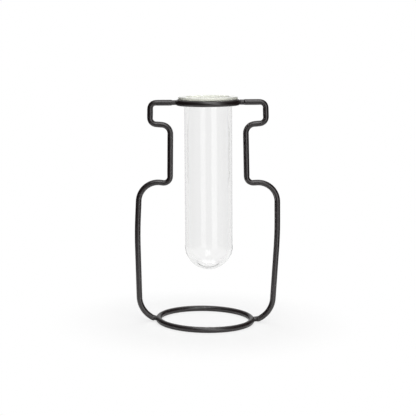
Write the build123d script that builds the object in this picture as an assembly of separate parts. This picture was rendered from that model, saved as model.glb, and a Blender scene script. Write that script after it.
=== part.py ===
from build123d import *
from math import radians, sqrt, tan
import os

# Test tube vase: a glass tube hangs by its lip in a frame of bent steel wire, which draws the
# outline of a bottle with a collar, a neck, a shoulder and a belly, and stands on a ring.
# Millimetres, +Z up, +X to the right. The origin is midway between the feet, on the table.

# Wire, measured over its powder coat
wire_diameter = 4.2
standing_flat = 0.1         # depth of the flat that the base ring stands on

# Test tube
tube_diameter = 35.0
tube_wall = 1.6
tube_floor = 2.0            # glass at the middle of the round bottom
tube_length = 126.2
lip_thickness = 2.15
lip_reach = 4.2             # how far the lip stands out from the tube's wall
mouth_round = 1.0           # rounding from the lip's top into the bore

# How the tube hangs in the top ring
tube_clearance = 2.1        # gap between the tube and the ring, all round
seat_clearance = 0.15

# Base ring, over the outside of its wire
base_ring_diameter = 72.7
base_ring_shift = -0.5      # the ring sits this far off the middle between the feet

# Side wires, run by run along the wire's centreline from the top ring to the base ring
collar_reach = 14.35        # how far the collar stands out from the neck
collar_depth = 15.1
collar_flare = 0.4          # the collar is this much wider at its lower corner
collar_slope = 1.3          # fall of the collar's lower run towards the neck
neck_gap = 7.6              # gap between the tube and the wire of the neck
neck_length = 42.5
neck_flare = 0.7            # the neck is this much wider at the shoulder
shoulder_height = 102.7
shoulder_reach = 23.3
shoulder_rise = 2.3         # the shoulder climbs this much on its way outwards
belly_draw = 1.1            # the belly is drawn in by this much below the shoulder
widest_share = 0.64         # height of the widest place, of the shoulder's height
foot_reach = 12.45          # how far the foot's corner stands outside the base ring
foot_height = 8.8
toe_reach = 2.95            # the wire levels out this far from the base ring
toe_height = 2.5

# Bend radii along the centreline
collar_top_bend = 4.1
collar_low_bend = 4.5
neck_bend = 6.6
shoulder_inner_bend = 4.6
shoulder_bend = 14.2
belly_bow = 310.0
foot_bend = 18.0
toe_bend = 3.0
bend_room_share = 0.98      # of a run that its two bends may take between them

# Welded ends of the side wires
collar_run = 15.9           # from the collar's upper corner to the wire's tip
toe_run = 1.8               # from the toe's corner to the wire's tip
tip_length = 0.9            # the wire tapers to its tip over this length
tip_share = 0.92            # tip diameter, of the wire's
waist_share = 0.86          # diameter at the waist of the weld, of the wire's

# The neck leans to the left, in degrees, about the middle of the shoulder
neck_lean = 1.45

# Sizes that follow from those above
wire_radius = wire_diameter / 2
tube_radius = tube_diameter / 2
bore_radius = tube_radius - tube_wall
lip_radius = lip_thickness / 2
tip_radius = wire_radius * tip_share
waist_radius = wire_radius * waist_share

top_ring_radius = tube_radius + tube_clearance + wire_radius
base_ring_radius = base_ring_diameter / 2 - wire_radius
base_ring_height = wire_radius - standing_flat
top_ring_rise = neck_length + collar_slope + collar_depth

neck_x = tube_radius + neck_gap + wire_radius
collar_x = neck_x + collar_reach
shoulder_x = neck_x + neck_flare
belly_x = shoulder_x + shoulder_reach
foot_x = base_ring_radius + wire_radius + foot_reach
toe_x = base_ring_radius + wire_radius + toe_reach

# Where the middle of the lip's rounded edge lies when it rests on the ring
edge_x = tube_radius + lip_reach - lip_radius
edge_rise = top_ring_rise + sqrt(
    (wire_radius + lip_radius + seat_clearance) ** 2 - (top_ring_radius - edge_x) ** 2
)

# Places on the neck are measured up from the shoulder and then leaned together
neck_place = Pos(0, 0, shoulder_height) * Rot(0, -neck_lean, 0)


def on_neck(x, rise):
    return (neck_place * Pos(x, 0, rise)).position


def wire_ring(radius):
    return Torus(radius, wire_radius)


def top_ring():
    return neck_place * Pos(0, 0, top_ring_rise) * wire_ring(top_ring_radius)


def base_ring():
    # The underside is flat, so that the ring stands still
    ring = Pos(base_ring_shift, 0, base_ring_height) * wire_ring(base_ring_radius)
    return split(ring, bisect_by=Plane.XY, keep=Keep.TOP)


def ring_points(side):
    """The middle of the ring's wire where a side wire meets it, on the top and base rings."""
    return on_neck(side * top_ring_radius, top_ring_rise), Vector(
        base_ring_shift + side * base_ring_radius, 0, base_ring_height
    )


def side_corners(side):
    """Corners of a side wire's centreline, from the collar down to the toe."""
    collar_low_rise = top_ring_rise - collar_depth
    return [
        on_neck(side * collar_x, top_ring_rise),
        on_neck(side * (collar_x + collar_flare), collar_low_rise),
        on_neck(side * neck_x, neck_length),
        on_neck(side * shoulder_x, 0),
        Vector(side * (belly_x - belly_draw), 0, shoulder_height + shoulder_rise),
        Vector(side * belly_x, 0, shoulder_height * widest_share),
        Vector(side * foot_x, 0, foot_height),
        Vector(side * toe_x, 0, toe_height),
    ]


def bends_with_room(route, bends):
    """The bend radii, made smaller alike where a run is too short for the two at its ends."""
    turns = [
        radians((middle - before).get_angle(after - middle))
        for before, middle, after in zip(route, route[1:], route[2:])
    ]
    taken = [0] + [bend * tan(turn / 2) for bend, turn in zip(bends, turns)] + [0]
    runs = [(end - start).length * bend_room_share for start, end in zip(route, route[1:])]
    room = [min(1, run / (near + far)) for run, near, far in zip(runs, taken, taken[1:])]
    return [bend * min(before, after) for bend, before, after in zip(bends, room, room[1:])]


def towards(start, end, distance):
    return start + (end - start).normalized() * distance


def tip_places(side):
    """Both tips of a side wire and where its tapers start, on the top ring and then the base."""
    places = []
    corners = side_corners(side)
    ends = (corners[0], collar_run), (corners[-1], toe_run)
    for ring_point, (corner, run) in zip(ring_points(side), ends):
        tip = towards(corner, ring_point, run)
        places.append((tip, towards(tip, corner, tip_length)))
    return places


def tapered_tip(tip, taper_start):
    across = Plane(taper_start, z_dir=tip - taper_start)
    return Solid.make_cone(wire_radius, tip_radius, tip_length, across)


def side_wire(side):
    """One wire from ring to ring: eight bends, and a taper at each welded end."""
    (top_tip, top_start), (base_tip, base_start) = tip_places(side)
    route = [top_start, *side_corners(side), base_start]
    bends = [
        collar_top_bend,
        collar_low_bend,
        neck_bend,
        shoulder_inner_bend,
        shoulder_bend,
        belly_bow,
        foot_bend,
        toe_bend,
    ]
    centreline = FilletPolyline(route, radius=bends_with_room(route, bends))
    section = Plane(top_start, z_dir=route[1] - top_start) * Circle(wire_radius)
    wire = sweep(section, path=centreline)
    return wire + tapered_tip(top_tip, top_start) + tapered_tip(base_tip, base_start)


def weld(tip, ring_point, ring):
    """A waisted neck of weld metal from the wire's tip to the side of the ring."""
    depth = (ring_point - tip).length
    gap = depth - wire_radius
    outline = [
        Polyline((0, depth), (0, 0), (tip_radius, 0)),
        ThreePointArc((tip_radius, 0), (waist_radius, gap / 2), (tip_radius, gap)),
        Polyline((tip_radius, gap), (tip_radius, depth), (0, depth)),
    ]
    neck = revolve(Plane.XZ * make_face(outline), Axis.Z)
    return Plane(tip, z_dir=ring_point - tip) * neck - ring


def test_tube():
    """Round bottom, straight wall and a flat lip with a rounded edge, as one turned outline."""
    lip_top = edge_rise + lip_radius
    lip_underside = edge_rise - lip_radius
    bottom = lip_top - tube_length
    round_start = bottom + tube_radius
    bore_start = bottom + tube_floor + bore_radius
    flare = edge_x - tube_radius
    mouth_x = bore_radius + mouth_round

    outline = [
        CenterArc((0, round_start), tube_radius, -90, 90),
        Line((tube_radius, round_start), (tube_radius, lip_underside - flare)),
        CenterArc((edge_x, lip_underside - flare), flare, 180, -90),
        CenterArc((edge_x, edge_rise), lip_radius, -90, 180),
        Line((edge_x, lip_top), (mouth_x, lip_top)),
        CenterArc((mouth_x, lip_top - mouth_round), mouth_round, 90, 90),
        Line((bore_radius, lip_top - mouth_round), (bore_radius, bore_start)),
        CenterArc((0, bore_start), bore_radius, 0, -90),
        Line((0, bottom + tube_floor), (0, bottom)),
    ]
    glass = revolve(Plane.XZ * make_face(outline), Axis.Z)
    return neck_place * glass


def all_pieces():
    pieces = {"top_ring": top_ring(), "base_ring": base_ring(), "test_tube": test_tube()}
    for name, side in (("left", -1), ("right", 1)):
        pieces[f"{name}_side_wire"] = side_wire(side)
        places = zip(("top", "base"), tip_places(side), ring_points(side))
        for level, (tip, _), ring_point in places:
            pieces[f"weld_{level}_{name}"] = weld(tip, ring_point, pieces[f"{level}_ring"])
    return pieces


os.makedirs("parts", exist_ok=True)
for node, piece in all_pieces().items():
    export_step(piece, f"parts/{node}.step")
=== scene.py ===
import bpy
import numpy as np
from mathutils import Matrix


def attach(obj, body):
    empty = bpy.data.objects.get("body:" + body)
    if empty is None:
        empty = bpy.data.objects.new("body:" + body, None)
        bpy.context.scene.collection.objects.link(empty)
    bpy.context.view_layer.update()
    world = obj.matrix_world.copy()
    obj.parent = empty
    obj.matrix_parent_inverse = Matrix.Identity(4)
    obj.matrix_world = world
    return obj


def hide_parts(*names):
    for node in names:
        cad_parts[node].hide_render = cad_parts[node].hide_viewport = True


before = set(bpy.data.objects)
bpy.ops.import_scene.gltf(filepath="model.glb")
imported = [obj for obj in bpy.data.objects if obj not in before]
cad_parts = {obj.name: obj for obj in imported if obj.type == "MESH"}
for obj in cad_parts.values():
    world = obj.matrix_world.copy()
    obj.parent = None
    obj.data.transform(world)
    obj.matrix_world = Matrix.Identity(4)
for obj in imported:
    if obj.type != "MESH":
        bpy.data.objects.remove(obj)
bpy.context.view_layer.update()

# Test tube vase: a drawn glass tube with a flared lip hangs in a frame of powder coated steel wire.
# Sizes are in millimetres, as a bending drawing gives them. Meshes are in metres.
mm = 0.001


# Meshes and nodes

def linear(hexColour):
    # sRGB hex to linear: the power curve of the sRGB standard, with its straight foot
    value = np.array([int(hexColour[i:i + 2], 16) for i in (1, 3, 5)]) / 255
    return tuple(np.where(value <= 0.04045, value / 12.92, ((value + 0.055) / 1.055) ** 2.4))


def addNode(tree, kind, settings=None, **links):
    # One node with its settings; links names an input and the output that feeds it. An input that
    # goes by number, such as _0, has its underscore, and one in a name stands for a space
    node = tree.nodes.new(kind)
    for name, value in (settings or {}).items():
        if isinstance(name, int) or name in node.inputs:
            node.inputs[name].default_value = value
        else:
            setattr(node, name, value)
    for name, source in links.items():
        socket = int(name[1:]) if name[1:].isdigit() else name.replace("_", " ")
        tree.links.new(source, node.inputs[socket])
    return node


def gridFaces(rows, columns, closedRows):
    # Quads of a grid that is closed around its columns, and also along its rows for a ring
    row = np.arange(rows if closedRows else rows - 1)[:, None]
    column = np.arange(columns)[None, :]
    here, after, beside = row * columns, (row + 1) % rows * columns, (column + 1) % columns
    corners = [here + column, here + beside, after + beside, after + column]
    return np.stack(np.broadcast_arrays(*corners), -1).reshape(-1, 4)


def makePiece(name, grid, body, material, nodes, closedRows=False):
    # Turns a grid of points, in mm, into a smooth closed mesh: its first and last rows shrink to a pole
    rows, columns = grid.shape[:2]
    points = grid.reshape(-1, 3)
    faces = gridFaces(rows, columns, closedRows).tolist()
    if not closedRows:
        around = np.arange(columns)
        beside = (around + 1) % columns
        first, last = len(points), len(points) + 1
        lastRow = (rows - 1) * columns
        points = np.vstack([points, grid[0].mean(0), grid[-1].mean(0)])
        faces += np.stack([np.full(columns, first), beside, around], -1).tolist()
        faces += np.stack([np.full(columns, last), lastRow + around, lastRow + beside], -1).tolist()
    mesh = bpy.data.meshes.new(name)
    mesh.from_pydata((points * mm).tolist(), [], faces)
    mesh.shade_smooth()
    mesh.materials.append(material)
    piece = bpy.data.objects.new(name, mesh)
    bpy.context.scene.collection.objects.link(piece)
    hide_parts(*nodes)
    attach(piece, body)


# Finishes

# Polyester powder coat, baked: satin charcoal, with a fine orange peel from the powder's flow
coat = {
    "colour": "#150a0c",
    "thinColour": "#1b1112",      # where the coat lies thinner, in soft patches
    "patchMm": 6.0,
    "patchDetail": 3.0,
    "patchRange": (0.35, 0.7),    # noise values between which one colour turns into the other
    "peelMm": 0.9,                # real peel is finer; drawn this coarse so that it shows
    "peelDetail": 2.0,
    "peelDepthMm": 0.012,
    "roughness": (0.34, 0.42),    # in the hollows and on the tops of the peel
    "ior": 1.8,
    "gloss": 0.5,
}


def powderCoat():
    material = bpy.data.materials.new("satinPowderCoat")
    material.use_nodes = True
    tree = material.node_tree
    shader = tree.nodes["Principled BSDF"]
    shader.inputs["IOR"].default_value = coat["ior"]
    shader.inputs["Specular IOR Level"].default_value = coat["gloss"]
    place = addNode(tree, "ShaderNodeTexCoord").outputs["Object"]
    patches = addNode(tree, "ShaderNodeTexNoise", {
        "Scale": 1 / (coat["patchMm"] * mm), "Detail": coat["patchDetail"]}, Vector=place)
    peel = addNode(tree, "ShaderNodeTexNoise", {
        "Scale": 1 / (coat["peelMm"] * mm), "Detail": coat["peelDetail"]}, Vector=place)
    colour = addNode(tree, "ShaderNodeValToRGB", Fac=patches.outputs["Fac"])
    ends = zip(colour.color_ramp.elements, coat["patchRange"], ("colour", "thinColour"))
    for element, position, name in ends:
        element.position = position
        element.color = (*linear(coat[name]), 1)
    low, high = coat["roughness"]
    height = peel.outputs["Fac"]
    rough = addNode(tree, "ShaderNodeMapRange", {"To Min": low, "To Max": high}, Value=height)
    bump = addNode(tree, "ShaderNodeBump", {"Distance": coat["peelDepthMm"] * mm}, Height=height)
    tree.links.new(colour.outputs["Color"], shader.inputs["Base Color"])
    tree.links.new(rough.outputs["Result"], shader.inputs["Roughness"])
    tree.links.new(bump.outputs["Normal"], shader.inputs["Normal"])
    return material


# Drawn soda-lime glass, fire-polished: clear and mirror smooth, grey at its edges, and grey-green where
# it is thick, in the lip. There it also scatters light as if milky: painted light, in place of the
# backdrop light that the clear lip carries
glass = {
    "ior": 1.5,
    "mirrorShare": 0.4,           # of the bare glass's reflection
    "roughness": 0.0,
    "colour": "#fbfbfb",
    "lipColour": "#eaebe3",
    "lipPaintedLightShare": 0.48,              # share of light that the lip scatters: painted light, in place of the backdrop light that the clear lip carries
    "lipMm": (160.6, 163.4),      # heights over which the wall thickens into the lip
    "edgeColour": "#c1c2be",
    "edgePathMm": 95.0,           # path in the glass that gives the edge colour
    "shadowColour": "#f6f7f6",    # of the light in its shadow
}


def drawnGlass():
    material = bpy.data.materials.new("drawnClearGlass")
    material.use_nodes = True
    tree = material.node_tree
    shader = tree.nodes["Principled BSDF"]
    output = tree.nodes["Material Output"]
    shader.inputs["Specular Tint"].default_value = (*[glass["mirrorShare"]] * 3, 1)
    shader.inputs["Roughness"].default_value = glass["roughness"]
    shader.inputs["IOR"].default_value = glass["ior"]
    place = addNode(tree, "ShaderNodeTexCoord").outputs["Object"]
    height = addNode(tree, "ShaderNodeSeparateXYZ", None, Vector=place)
    # From 0 in the wall to 1 in the lip, where the glass turns grey-green and scatters some light:
    # painted light, in place of the backdrop light that the clear lip carries
    wallTop, lipStart = glass["lipMm"]
    lip = addNode(tree, "ShaderNodeMapRange", {
        "interpolation_type": "SMOOTHSTEP", "From Min": wallTop * mm, "From Max": lipStart * mm},
        Value=height.outputs["Z"])
    tint = addNode(tree, "ShaderNodeValToRGB", Fac=lip.outputs["Result"])
    for element, name in zip(tint.color_ramp.elements, ("colour", "lipColour")):
        element.color = (*linear(glass[name]), 1)
    # The lip lets less light through and scatters the rest, as painted light
    through = addNode(tree, "ShaderNodeMapRange", {"To Min": 1.0, "To Max": 1 - glass["lipPaintedLightShare"]},
                      Value=lip.outputs["Result"])
    tree.links.new(tint.outputs["Color"], shader.inputs["Base Color"])
    tree.links.new(through.outputs["Result"], shader.inputs["Transmission Weight"])
    # A shadow ray goes straight through, since it would find no lamp if it were bent
    clear = addNode(tree, "ShaderNodeBsdfTransparent", {"Color": (*linear(glass["shadowColour"]), 1)})
    ray = addNode(tree, "ShaderNodeLightPath")
    mix = addNode(tree, "ShaderNodeMixShader", None, Fac=ray.outputs["Is Shadow Ray"],
                  _1=shader.outputs["BSDF"], _2=clear.outputs["BSDF"])
    tree.links.new(mix.outputs["Shader"], output.inputs["Surface"])
    # Absorption: the edge colour is what is left of white after the path, so the loss along it is
    # -ln(colour) / path. The density is the greatest of the three, and the colour what they spare
    edge = np.array(linear(glass["edgeColour"]))
    loss = -np.log(edge) / (glass["edgePathMm"] * mm)
    inside = addNode(tree, "ShaderNodeVolumeAbsorption",
                     {"Color": (*(1 - loss / loss.max()), 1), "Density": float(loss.max())})
    tree.links.new(inside.outputs["Volume"], output.inputs["Volume"])
    return material


coatMaterial = powderCoat()
glassMaterial = drawnGlass()
print("finishes made")


# The frame of bent wire

wire = {
    "radius": 2.1,
    "around": 40,             # points around the wire
    "step": 0.6,              # between rows along it
    "ovalShare": 0.1,         # how much a bend squeezes the wire, for a bend as tight as the wire
    "settle": 1.4,            # length over which a bend starts
    "tipLength": 0.9,         # each end tapers over this
    "tipShare": 0.92,         # to this share of the radius,
    "noseLength": 0.4,        # and is rounded over this
    "noseShare": 0.85,
}

rings = {
    "topRadius": 21.7,        # to the middle of the wire
    "topRise": 58.9,          # above the shoulder
    "baseRadius": 34.25,
    "baseHeight": 2.0,
    "baseShift": -0.5,        # the base ring sits a little to the left between the feet
    "around": 320,
}

outline = {
    "shoulderHeight": 102.7,
    "neckLean": 1.45,         # degrees, to the left, of all that is above the shoulder
    "neckX": 27.2,
    "neckFlare": 0.7,
    "neckLength": 42.5,
    "collarX": 41.55,
    "collarFlare": 0.4,
    "collarLowRise": 43.8,
    "bellyX": 51.2,
    "bellyDraw": 1.1,
    "shoulderRise": 2.3,
    "widestShare": 0.64,
    "footX": 48.8,
    "footHeight": 8.8,
    "toeX": 39.3,
    "toeHeight": 2.5,
    "bends": (4.1, 4.5, 6.6, 4.6, 14.2, 310.0, 18.0, 3.0),     # radii, from the collar down to the toe
    "endRuns": (15.9, 1.8),   # from the last corner to the wire's tip, above and below
}

weld = {
    "waistShare": 0.86,       # radius at the waist, of the wire's
    "sinkIn": 1.3,            # how far the weld metal runs into wire and ring
    "lumpShare": 0.05,        # height of the coarse lumps, of the radius
    "fineShare": 0.6,         # height of the fine lumps, of the coarse ones'
    "closing": 8,             # how blunt its ends are: a power of the distance from the waist
    "phaseStep": 1.3,         # radians, from the frame's middle to either side
    "rows": 28,
    "around": 32,
}


def onNeck(points):
    # Points given as x, y and rise above the shoulder, leaned to the left about the shoulder's middle
    lean = np.radians(outline["neckLean"])
    x, y, rise = np.moveaxis(np.asarray(points, float), -1, 0)
    leaned = (x * np.cos(lean) - rise * np.sin(lean), y,
              x * np.sin(lean) + rise * np.cos(lean) + outline["shoulderHeight"])
    return np.stack(leaned, -1)


def sideCorners(side):
    # Corners of one side wire's centreline, from the collar down to the toe
    neck = [
        (outline["collarX"], rings["topRise"]),
        (outline["collarX"] + outline["collarFlare"], outline["collarLowRise"]),
        (outline["neckX"], outline["neckLength"]),
        (outline["neckX"] + outline["neckFlare"], 0),
    ]
    belly = [
        (outline["bellyX"] - outline["bellyDraw"], outline["shoulderHeight"] + outline["shoulderRise"]),
        (outline["bellyX"], outline["shoulderHeight"] * outline["widestShare"]),
        (outline["footX"], outline["footHeight"]),
        (outline["toeX"], outline["toeHeight"]),
    ]
    upper = onNeck([(side * x, 0, rise) for x, rise in neck])
    lower = np.array([(side * x, 0, height) for x, height in belly])
    return np.vstack([upper, lower])


def ringPoints(side):
    # Middle of the ring's wire where a side wire meets it, above and below
    return (onNeck((side * rings["topRadius"], 0, rings["topRise"])),
            np.array((rings["baseShift"] + side * rings["baseRadius"], 0, rings["baseHeight"])))


def unit(vector):
    # Vectors divided by their lengths
    return vector / np.linalg.norm(vector, axis=-1, keepdims=True)


def bentPath(corners, bends, step):
    # Straight runs joined by arcs that touch both: at a corner that turns by t, the arc of radius r
    # starts and ends r tan(t/2) from it. Also gives the curvature, 1/r in an arc and 0 in a run
    stretches, curving = [], []
    start = corners[0]
    for before, corner, after, bend in zip(corners, corners[1:], corners[2:], bends):
        inward, onward = unit(corner - before), unit(after - corner)
        turn = np.arccos(np.dot(inward, onward))
        reach = bend * np.tan(turn / 2)
        arcStart = corner - inward * reach
        middle = arcStart + unit(onward - inward * np.dot(inward, onward)) * bend
        straight = np.arange(0, 1, step / np.linalg.norm(arcStart - start))[:, None]
        stretches.append(start + (arcStart - start) * straight)
        curving.append(np.zeros(len(straight)))
        angle = np.arange(0, turn, step / bend)[:, None]
        stretches.append(middle + (arcStart - middle) * np.cos(angle) + inward * bend * np.sin(angle))
        curving.append(np.full(len(angle), 1 / bend))
        start = corner + onward * reach
    straight = np.arange(0, 1, step / np.linalg.norm(corners[-1] - start))[:, None]
    stretches += [start + (corners[-1] - start) * straight, corners[-1:]]
    curving.append(np.zeros(len(straight) + 1))
    return np.vstack(stretches), np.concatenate(curving)


def sweptWire(path, squeeze, scale, around):
    # Round section carried along a path in the wires' plane: across is the path's direction turned
    # a quarter. A squeezed section loses width across and gains half as much in depth
    along = unit(np.gradient(path, axis=0))
    across = np.stack([along[:, 2], np.zeros(len(along)), -along[:, 0]], -1)
    angle = np.linspace(0, 2 * np.pi, around, endpoint=False)
    width, depth = scale * (1 - squeeze), scale * (1 + squeeze / 2)
    flat = np.cos(angle)[None, :, None] * (across * width[:, None])[:, None, :]
    deep = np.sin(angle)[None, :, None] * depth[:, None, None] * np.array((0, 1.0, 0))
    return path[:, None, :] + (flat + deep) * wire["radius"]


def sideWire(side, name, nodes):
    # One wire from ring to ring: section swept along the bent path, narrower at its tips
    corners = sideCorners(side)
    tips = []
    ends = zip(ringPoints(side), (corners[0], corners[-1]), outline["endRuns"])
    for ringPoint, corner, run in ends:
        tips.append(corner + unit(ringPoint - corner) * run)
    path, curving = bentPath(np.vstack([tips[0], corners, tips[1]]), outline["bends"], wire["step"])
    gone = np.concatenate([[0], np.cumsum(np.linalg.norm(np.diff(path, axis=0), axis=1))])
    # A bend squeezes the wire in its own plane, which starts and ends softly: a moving average of
    # the curvature
    window = int(wire["settle"] / wire["step"]) * 2 + 1
    soft = np.convolve(np.pad(curving, window // 2, mode="edge"), np.ones(window) / window, mode="valid")
    squeeze = wire["ovalShare"] * np.clip(soft * wire["radius"], 0, 1)
    toTip = np.minimum(gone, gone[-1] - gone)
    taper = wire["tipShare"] + (1 - wire["tipShare"]) * np.clip(toTip / wire["tipLength"], 0, 1)
    nose = np.clip(1 - toTip / wire["noseLength"], 0, 1)
    scale = taper * (wire["noseShare"] + (1 - wire["noseShare"]) * np.sqrt(1 - nose ** 2))
    grid = sweptWire(path, squeeze, scale, wire["around"])
    makePiece(name, grid, "frame", coatMaterial, nodes)
    return tips


def wireRing(radius, shift, height, onTable):
    # Torus: a circle of the wire's radius carried round a circle of the ring's radius, and flat
    # where it stands
    turn = np.linspace(0, 2 * np.pi, rings["around"], endpoint=False)[:, None]
    angle = np.linspace(0, 2 * np.pi, wire["around"], endpoint=False)[None, :]
    reach = radius + wire["radius"] * np.cos(angle)
    rise = height + wire["radius"] * np.sin(angle) + 0 * turn
    if onTable:
        rise = np.maximum(rise, 0)
    return np.stack([reach * np.cos(turn) + shift, reach * np.sin(turn), rise], -1)


def weldNeck(tip, ringPoint, phase):
    # Waisted neck between wire tip and ring: its radius grows with the square of the distance from
    # the waist. Two sine waves round it make its lumps, and the phase turns them on each weld
    axis = unit(ringPoint - tip)
    gap = np.linalg.norm(ringPoint - tip) - wire["radius"]
    deep = np.array((0, 1.0, 0))
    across = np.cross(axis, deep)
    along = np.linspace(-weld["sinkIn"], gap + weld["sinkIn"], weld["rows"])[:, None]
    angle = np.linspace(0, 2 * np.pi, weld["around"], endpoint=False)[None, :]
    far = (along - gap / 2) / (gap / 2 + weld["sinkIn"])
    waist = wire["radius"] * weld["waistShare"]
    spread = wire["radius"] * (wire["tipShare"] - weld["waistShare"])
    lumps = np.sin(2 * angle + phase) + weld["fineShare"] * np.sin(5 * angle + 3 * phase + 2 * far)
    radius = (waist + spread * far ** 2) * (1 + weld["lumpShare"] * lumps * (1 - far ** 2))
    closing = np.sqrt(np.clip(1 - far ** weld["closing"], 0, 1))
    outward = deep * np.cos(angle)[..., None] + across * np.sin(angle)[..., None]
    return tip + axis * along[..., None] + outward * (radius * closing)[..., None]


topGrid = onNeck(wireRing(rings["topRadius"], 0, rings["topRise"], onTable=False))
baseGrid = wireRing(rings["baseRadius"], rings["baseShift"], rings["baseHeight"], onTable=True)
makePiece("topRing", topGrid, "frame", coatMaterial, ["top_ring"], closedRows=True)
makePiece("baseRing", baseGrid, "frame", coatMaterial, ["base_ring"], closedRows=True)
for sideName, side in (("left", -1), ("right", 1)):
    tips = sideWire(side, sideName + "SideWire", [sideName + "_side_wire"])
    for level, tip, ringPoint in zip(("top", "base"), tips, ringPoints(side)):
        weldGrid = weldNeck(tip, ringPoint, weld["phaseStep"] * side + len(level))
        makePiece(f"{level}{sideName.capitalize()}Weld", weldGrid, "frame", coatMaterial,
                  [f"weld_{level}_{sideName}"])
print("wire frame made")


# The glass tube

tube = {
    "radius": 17.5,
    "bore": 15.9,
    "floor": 2.0,
    "length": 126.2,
    "edgeX": 20.625,          # where the lip's rounded edge has its middle
    "edgeRise": 62.0465,
    "lipRadius": 1.075,
    "mouthRound": 1.0,
    "around": 320,
    "arcStep": 3.0,           # degrees
    "wallRows": 40,
    "lipRows": 8,
}


def arc(x, rise, radius, first, last):
    # Points of an arc in the profile's plane, from one angle to another, without its last point
    steps = int(abs(last - first) / tube["arcStep"])
    angle = np.radians(np.linspace(first, last, steps, endpoint=False))
    return np.stack([x + radius * np.cos(angle), rise + radius * np.sin(angle)], -1)


def wall(x, low, high):
    # Straight run of the profile, without its last point
    rise = np.linspace(low, high, tube["wallRows"], endpoint=False)
    return np.stack([np.full(len(rise), x), rise], -1)


def tubeProfile():
    # Outside from the bottom up, over the lip, and down the bore to the bottom
    top = tube["edgeRise"] + tube["lipRadius"]
    bottom = top - tube["length"]
    outFlare = tube["edgeX"] - tube["radius"]
    mouthX, mouthRise = tube["bore"] + tube["mouthRound"], top - tube["mouthRound"]
    outerRound, innerRound = bottom + tube["radius"], bottom + tube["floor"] + tube["bore"]
    outerEnd = tube["edgeRise"] - tube["lipRadius"] - outFlare
    lipTop = np.linspace((tube["edgeX"], top), (mouthX, top), tube["lipRows"], endpoint=False)
    return np.vstack([
        arc(0, outerRound, tube["radius"], -90, 0)[1:],
        wall(tube["radius"], outerRound, outerEnd),
        arc(tube["edgeX"], outerEnd, outFlare, 180, 90),
        arc(tube["edgeX"], tube["edgeRise"], tube["lipRadius"], -90, 90),
        lipTop,
        arc(mouthX, mouthRise, tube["mouthRound"], 90, 180),
        wall(tube["bore"], mouthRise, innerRound),
        arc(0, innerRound, tube["bore"], 0, -90),
    ])


def glassTube():
    # The profile turned round the tube's axis
    profile = tubeProfile()
    turn = np.linspace(0, 2 * np.pi, tube["around"], endpoint=False)[None, :]
    reach = profile[:, :1]
    grid = np.stack([reach * np.cos(turn), reach * np.sin(turn), profile[:, 1:] + 0 * turn], -1)
    makePiece("glassTube", onNeck(grid), "tube", glassMaterial, ["test_tube"])


glassTube()
print("glass tube made")


# Camera, floor and light

camera = {
    "azimuth": -1.895,        # degrees round from the front, to the left
    "distance": 881.0,
    "height": 212.84,
    "pitch": 8.275,           # degrees down
    "roll": 1.088,
    "lens": 105.65,
    "sensor": 36.0,
}


def placeCamera():
    # Stands on a circle round the vase, looks down by the pitch and is then rolled
    azimuth, pitch, roll = (np.radians(camera[name]) for name in ("azimuth", "pitch", "roll"))
    level = np.array((-np.sin(azimuth), np.cos(azimuth), 0))
    place = np.array((0, 0, camera["height"])) - level * camera["distance"]
    forward = level * np.cos(pitch) - np.array((0, 0, 1)) * np.sin(pitch)
    right = np.cross(level, (0, 0, 1))
    up = np.cross(right, forward)
    rolledRight = right * np.cos(roll) + up * np.sin(roll)
    rolledUp = up * np.cos(roll) - right * np.sin(roll)
    axes = np.stack([rolledRight, rolledUp, -forward])
    data = bpy.data.cameras.new("camera")
    data.sensor_width = camera["sensor"]
    data.lens = camera["lens"]
    holder = bpy.data.objects.new("camera", data)
    bpy.context.scene.collection.objects.link(holder)
    turned = Matrix(axes.T.tolist()).to_4x4()
    turned.translation = (place * mm).tolist()
    holder.matrix_world = turned
    bpy.context.scene.camera = holder


floor = {
    "size": 420.0,
    "colour": "#dedede",
    "shadowShare": 0.3,       # how much of the card's own shading the camera sees by the vase,
    "near": 50.0,             # out to here,
    "far": 120.0,             # fading to plain white here
}


def placeFloor():
    # White card: it glows white for the camera, apart from a share of its own shading near the vase
    half = floor["size"] / 2 * mm
    mesh = bpy.data.meshes.new("floor")
    corners = [(-half, -half, 0), (half, -half, 0), (half, half, 0), (-half, half, 0)]
    mesh.from_pydata(corners, [], [(0, 1, 2, 3)])
    material = bpy.data.materials.new("whiteCard")
    material.use_nodes = True
    tree = material.node_tree
    tree.nodes.clear()
    place = addNode(tree, "ShaderNodeTexCoord").outputs["Object"]
    away = addNode(tree, "ShaderNodeVectorMath", {"operation": "LENGTH"}, Vector=place)
    share = addNode(tree, "ShaderNodeMapRange", {
        "interpolation_type": "SMOOTHSTEP", "From Min": floor["near"] * mm,
        "From Max": floor["far"] * mm, "To Min": 1 - floor["shadowShare"], "To Max": 1.0},
        Value=away.outputs["Value"])
    ray = addNode(tree, "ShaderNodeLightPath")
    seen = addNode(tree, "ShaderNodeMath", {"operation": "MAXIMUM"},
                   _0=ray.outputs["Is Camera Ray"], _1=ray.outputs["Is Transmission Ray"])
    glow = addNode(tree, "ShaderNodeMath", {"operation": "MULTIPLY"},
                   _0=seen.outputs["Value"], _1=share.outputs["Result"])
    card = addNode(tree, "ShaderNodeBsdfDiffuse", {"Color": (*linear(floor["colour"]), 1)})
    white = addNode(tree, "ShaderNodeEmission", {"Color": (1, 1, 1, 1), "Strength": 1.0})
    mix = addNode(tree, "ShaderNodeMixShader", None, Fac=glow.outputs["Value"],
                  _1=card.outputs["BSDF"], _2=white.outputs["Emission"])
    addNode(tree, "ShaderNodeOutputMaterial", None, Surface=mix.outputs["Shader"])
    mesh.materials.append(material)
    piece = bpy.data.objects.new("floor", mesh)
    bpy.context.scene.collection.objects.link(piece)


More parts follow.
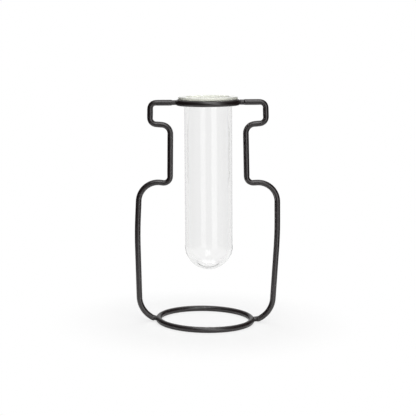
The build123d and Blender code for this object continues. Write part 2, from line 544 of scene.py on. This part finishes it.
# Each softbox: azimuth to the right of the front and height of its middle in degrees, its distance,
# width and height in mm, and radiance
softboxes = {
    "key": {"azimuth": 27, "elevation": 9, "distance": 900, "width": 560, "height": 700,
            "radiance": 2.6},
    "upper": {"azimuth": 8, "elevation": 57, "distance": 900, "width": 600, "height": 760,
              "radiance": 3.6},
    "rear": {"azimuth": 180, "elevation": 62, "distance": 900, "width": 700, "height": 700,
             "radiance": 3.5},
}

diffuser = {"fadeShare": 0.22}       # of the width, over which the light fades to its edge


def fadeToEdges(light):
    # Full light over the softbox's middle, and a smoothstep to nothing at its edges, by the farther
    # of the two distances from the middle
    light.use_nodes = True
    tree = light.node_tree
    place = addNode(tree, "ShaderNodeNewGeometry").outputs["Parametric"]
    centred = addNode(tree, "ShaderNodeVectorMath", {"operation": "SUBTRACT", 1: (0.5, 0.5, 0)}, _0=place)
    apart = addNode(tree, "ShaderNodeVectorMath", {"operation": "ABSOLUTE"}, _0=centred.outputs["Vector"])
    sides = addNode(tree, "ShaderNodeSeparateXYZ", None, Vector=apart.outputs["Vector"])
    farther = addNode(tree, "ShaderNodeMath", {"operation": "MAXIMUM"},
                      _0=sides.outputs["X"], _1=sides.outputs["Y"])
    fade = addNode(tree, "ShaderNodeMapRange", {
        "interpolation_type": "SMOOTHSTEP", "From Min": 0.5 - diffuser["fadeShare"], "From Max": 0.5,
        "To Min": 1.0, "To Max": 0.0}, Value=farther.outputs["Value"])
    tree.links.new(fade.outputs["Result"], tree.nodes["Emission"].inputs["Strength"])


def placeSoftbox(name, box):
    # Stands on a sphere round the vase and faces its middle
    azimuth, elevation = np.radians(box["azimuth"]), np.radians(box["elevation"])
    level = np.array((np.sin(azimuth), -np.cos(azimuth), 0))
    toward = level * np.cos(elevation) + np.array((0, 0, 1)) * np.sin(elevation)
    right = unit(np.cross((0, 0, 1), toward))
    up = np.cross(toward, right)
    light = bpy.data.lights.new(name, "AREA")
    light.shape = "RECTANGLE"
    light.size, light.size_y = box["width"] * mm, box["height"] * mm
    light.energy = box["radiance"] * np.pi * light.size * light.size_y     # radiance times pi times area
    fadeToEdges(light)
    holder = bpy.data.objects.new(name, light)
    holder.visible_glossy = name != "rear"     # the rear one lights the card, and shows in no reflection
    bpy.context.scene.collection.objects.link(holder)
    turned = Matrix(np.stack([right, up, toward], -1).tolist()).to_4x4()
    turned.translation = (toward * box["distance"] * mm).tolist()
    holder.matrix_world = turned


studio = {
    "ambient": 0.01,                  # strength of the room where it is dark,
    "fill": 0.45,                     # of the room for surfaces that scatter its light,
    "side": 0.1,                      # and of what the glass shows beside the backdrop
    "level": -0.08,                   # slope of the dark band round the room that the glass shows,
    "band": (0.1, 0.34),              # and how far off it white starts and is full
    # White patches at the back: height of the middle, and how far off it white starts to fade and
    # ends, in degrees
    "throughGlass": (0.0, 50.0, 90.0),
    "inReflections": (0.0, 14.0, 28.0),
    "overhead": (64.0, 16.0, 38.0),
    "offGlass": (0.0, 14.0, 34.0),
    "bounces": 14,                    # light turns many times inside the tube's round bottom and lip
}


def whitePatch(tree, direction, name, dark):
    # Smoothstep of the cosine between a ray and the patch's middle, from dark to white
    height, inner, outer = np.radians(studio[name])
    nearMiddle = addNode(tree, "ShaderNodeVectorMath", {
        "operation": "DOT_PRODUCT", 1: (0.0, float(np.cos(height)), float(np.sin(height)))}, _0=direction)
    white = addNode(tree, "ShaderNodeMapRange", {
        "interpolation_type": "SMOOTHSTEP", "From Min": float(np.cos(outer)),
        "From Max": float(np.cos(inner)), "To Min": dark, "To Max": 1.0},
        Value=nearMiddle.outputs["Value"])
    return white.outputs["Result"]


def whiteOffBand(tree, direction):
    # Smoothstep of how far a ray's slope is from the dark band's level, above or below
    slope = addNode(tree, "ShaderNodeSeparateXYZ", None, Vector=direction).outputs["Z"]
    offLevel = addNode(tree, "ShaderNodeMath", {"operation": "SUBTRACT", 1: studio["level"]}, _0=slope)
    apart = addNode(tree, "ShaderNodeMath", {"operation": "ABSOLUTE"}, _0=offLevel.outputs["Value"])
    start, full = studio["band"]
    white = addNode(tree, "ShaderNodeMapRange", {
        "interpolation_type": "SMOOTHSTEP", "From Min": start, "From Max": full},
        Value=apart.outputs["Value"])
    return white.outputs["Result"]


def lightWorld():
    # White for the camera and dark for the rest, apart from the white that each kind of ray finds.
    # A ray of two kinds takes the brighter
    world = bpy.data.worlds.new("studio")
    bpy.context.scene.world = world
    world.use_nodes = True
    tree = world.node_tree
    tree.nodes.clear()
    direction = addNode(tree, "ShaderNodeTexCoord").outputs["Generated"]
    ray = addNode(tree, "ShaderNodeLightPath")
    through, glossy = ray.outputs["Is Transmission Ray"], ray.outputs["Is Glossy Ray"]
    # Only glass is smooth enough for a singular ray, which keeps its reflections apart from the coat's
    mirrored = addNode(tree, "ShaderNodeMath", {"operation": "MULTIPLY"},
                       _0=ray.outputs["Is Singular Ray"], _1=ray.outputs["Is Reflection Ray"])
    # Seen straight through the glass, with no mirror on the way, the room is white all round
    unmirrored = addNode(tree, "ShaderNodeMath", {"operation": "LESS_THAN", 1: 0.5},
                         _0=ray.outputs["Glossy Depth"])
    fill = addNode(tree, "ShaderNodeMath", {"operation": "MULTIPLY", 1: studio["fill"]},
                   _0=ray.outputs["Is Diffuse Ray"])
    lit = addNode(tree, "ShaderNodeMath", {"operation": "MAXIMUM"},
                  _0=ray.outputs["Is Camera Ray"], _1=fill.outputs["Value"])
    for kind, white in (
            (through, whitePatch(tree, direction, "throughGlass", studio["side"])),
            (through, whiteOffBand(tree, direction)),
            (through, unmirrored.outputs["Value"]),
            (glossy, whitePatch(tree, direction, "inReflections", studio["ambient"])),
            (glossy, whitePatch(tree, direction, "overhead", studio["ambient"])),
            (mirrored.outputs["Value"], whitePatch(tree, direction, "offGlass", studio["ambient"]))):
        part = addNode(tree, "ShaderNodeMath", {"operation": "MULTIPLY"}, _0=kind, _1=white)
        lit = addNode(tree, "ShaderNodeMath", {"operation": "MAXIMUM"},
                      _0=lit.outputs["Value"], _1=part.outputs["Value"])
    strength = addNode(tree, "ShaderNodeMath", {"operation": "MAXIMUM", 1: studio["ambient"]},
                       _0=lit.outputs["Value"])
    light = addNode(tree, "ShaderNodeBackground", {"Color": (1, 1, 1, 1)},
                    Strength=strength.outputs["Value"])
    addNode(tree, "ShaderNodeOutputWorld", None, Surface=light.outputs["Background"])
    world.cycles.sampling_method = "NONE"     # light is found along the rays, which carry their kind


placeCamera()
placeFloor()
for name, box in softboxes.items():
    placeSoftbox(name, box)
lightWorld()
bpy.context.scene.view_settings.view_transform = "Standard"
paths = bpy.context.scene.cycles
paths.max_bounces = paths.glossy_bounces = paths.transmission_bounces = studio["bounces"]
print("camera, floor and light placed")
